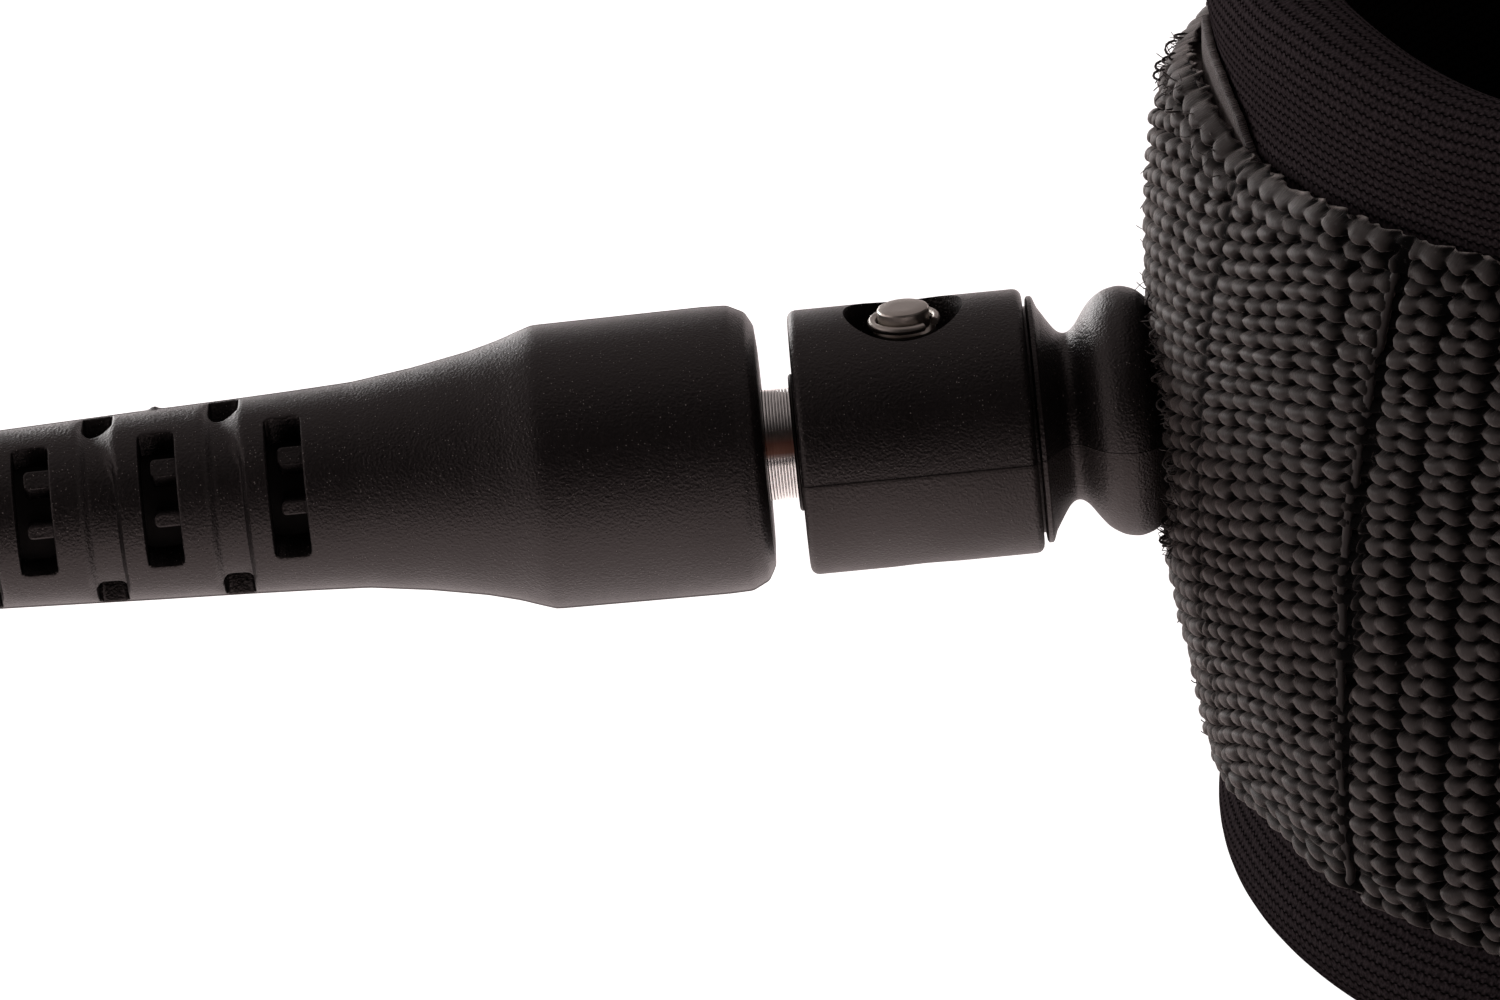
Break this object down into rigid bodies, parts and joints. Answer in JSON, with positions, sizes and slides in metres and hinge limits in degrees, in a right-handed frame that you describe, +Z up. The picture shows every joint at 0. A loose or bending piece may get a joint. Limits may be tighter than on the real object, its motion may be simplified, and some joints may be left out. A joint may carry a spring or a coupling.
{
  "type": "surf leash",
  "caption": "Surfboard leash: hinged neoprene ankle cuff with hook-and-loop flap, swivels with flexible boots at both cord ends, coiled cord, rail saver strap.",
  "frame": {"origin": "centre of the ankle opening, at the cuff's mid-height", "axes": "+Z up along the ankle opening's axis, -X towards the horn, swivel and boot, -Y towards the viewer of the picture"},
  "size_m": [0.2758, 0.1311, 0.05],
  "materials": {
    "webbing": "woven nylon strap, slight sheen",
    "neoprene": "knitted neoprene",
    "loop_pile": "loop pile",
    "hook_tape": "hook tape",
    "cord": "glossy urethane",
    "boot": "fine-textured moulding",
    "moulded": "fine-textured moulding",
    "washer": "thin dark washer",
    "pin_steel": "brushed",
    "shaft_steel": "finely turned",
    "inner_plastic": "plain",
    "inner_steel": "plain"
  },
  "bodies": {
    "cuff": {"ankle_pad": "neoprene", "cuff_band": "webbing", "loop_patch": "loop_pile", "free_cord": "cord", "tail_cord": "cord", "cord_coil": "cord", "rail_saver": "webbing", "saver_patches": "loop_pile", "cuff_horn_anchor": "inner_steel", "board_horn_anchor": "inner_steel", "cuff_horn": "moulded", "cuff_swivel_barrel": "moulded", "cuff_cross_pin": "pin_steel", "cuff_swivel_shaft": "shaft_steel", "board_horn": "moulded", "board_swivel_barrel": "moulded", "board_cross_pin": "pin_steel", "board_swivel_shaft": "shaft_steel", "cuff_pin_rings": "pin_steel", "cuff_shaft_washer": "washer"},
    "cord_end": {"cuff_boot": "boot", "cuff_swivel_cup": "inner_plastic", "cuff_thrust_washers": "inner_plastic", "cuff_cord_ferrule": "inner_steel", "cuff_cord_core": "cord"},
    "board_end": {"board_boot": "boot", "board_swivel_cup": "inner_plastic"},
    "cuff_arm": {"ankle_pad_arm": "neoprene", "cuff_band_arm": "webbing", "flap_root": "webbing"},
    "closure": {"closure_flap": "webbing", "hook_patch": "hook_tape", "pull_tab": "webbing"}
  },
  "joints": [
    {"name": "cord_swivel", "type": "hinge", "parent": "cuff", "child": "cord_end", "pos_m": [-0.075, 0, 0], "axis": [1, 0, 0], "continuous": true},
    {"name": "board_swivel", "type": "hinge", "parent": "cuff", "child": "board_end", "pos_m": [-0.118, -0.0744, -0.0177], "axis": [1, 0, 0], "continuous": true},
    {"name": "cuff_opening", "type": "hinge", "parent": "cuff", "child": "cuff_arm", "pos_m": [0, 0.0449, 0], "axis": [0, 0, 1], "range_deg": [0, 60]},
    {"name": "flap_opening", "type": "hinge", "parent": "cuff_arm", "child": "closure", "pos_m": [0.04831, 0.00296, 0], "axis": [0, 0, 1], "range_deg": [0, 110]}
  ]
}
